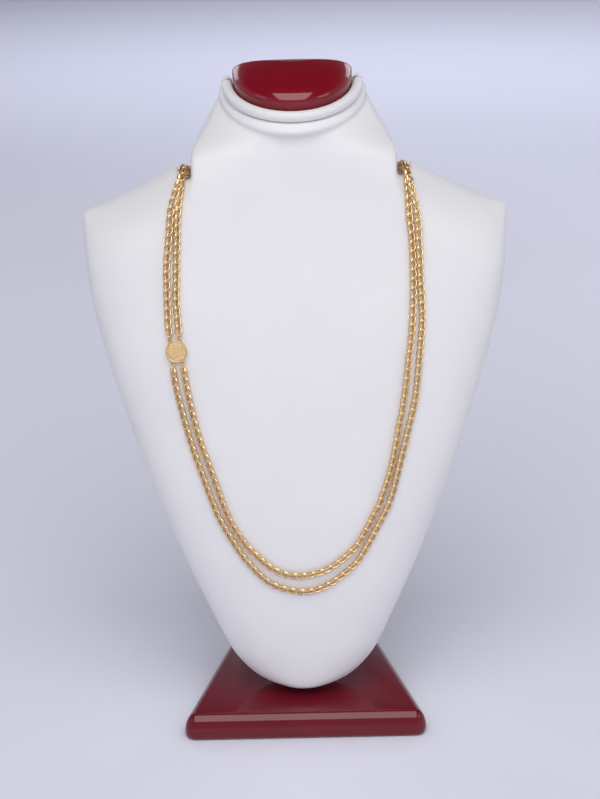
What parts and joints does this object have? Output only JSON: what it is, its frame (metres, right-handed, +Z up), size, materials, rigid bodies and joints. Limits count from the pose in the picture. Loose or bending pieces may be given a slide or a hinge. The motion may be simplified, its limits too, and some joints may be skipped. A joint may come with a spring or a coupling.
{
  "type": "layered necklace on a plain neck bust",
  "caption": "Layered gold chain necklace with a round textured side disc, lying on a white neck bust that leans back on a post over a lacquered base.",
  "frame": {"origin": "middle of the base's underside, where the stand rests", "axes": "+Z up, the front of the bust and the necklace faces -Y, +X to the viewer's right"},
  "size_m": [0.2474, 0.11, 0.3928],
  "materials": {
    "gold": "polished gold plating, with faceted links and a granulated disc",
    "leatherette": "white leatherette with a fine grain and a soft sheen",
    "lacquer": "high-gloss burgundy lacquer on wood"
  },
  "bodies": {
    "root": {"base": "lacquer", "post": "lacquer", "bust": "leatherette", "neck_roll": "leatherette", "cap": "lacquer", "disc": "gold", "ring_upper_outer": "gold", "ring_upper_inner": "gold", "ring_lower_outer": "gold", "ring_lower_inner": "gold", "clasp": "gold", "chain_outer_long": "gold", "chain_outer_short": "gold", "chain_inner_long": "gold", "chain_inner_short": "gold"}
  },
  "joints": []
}
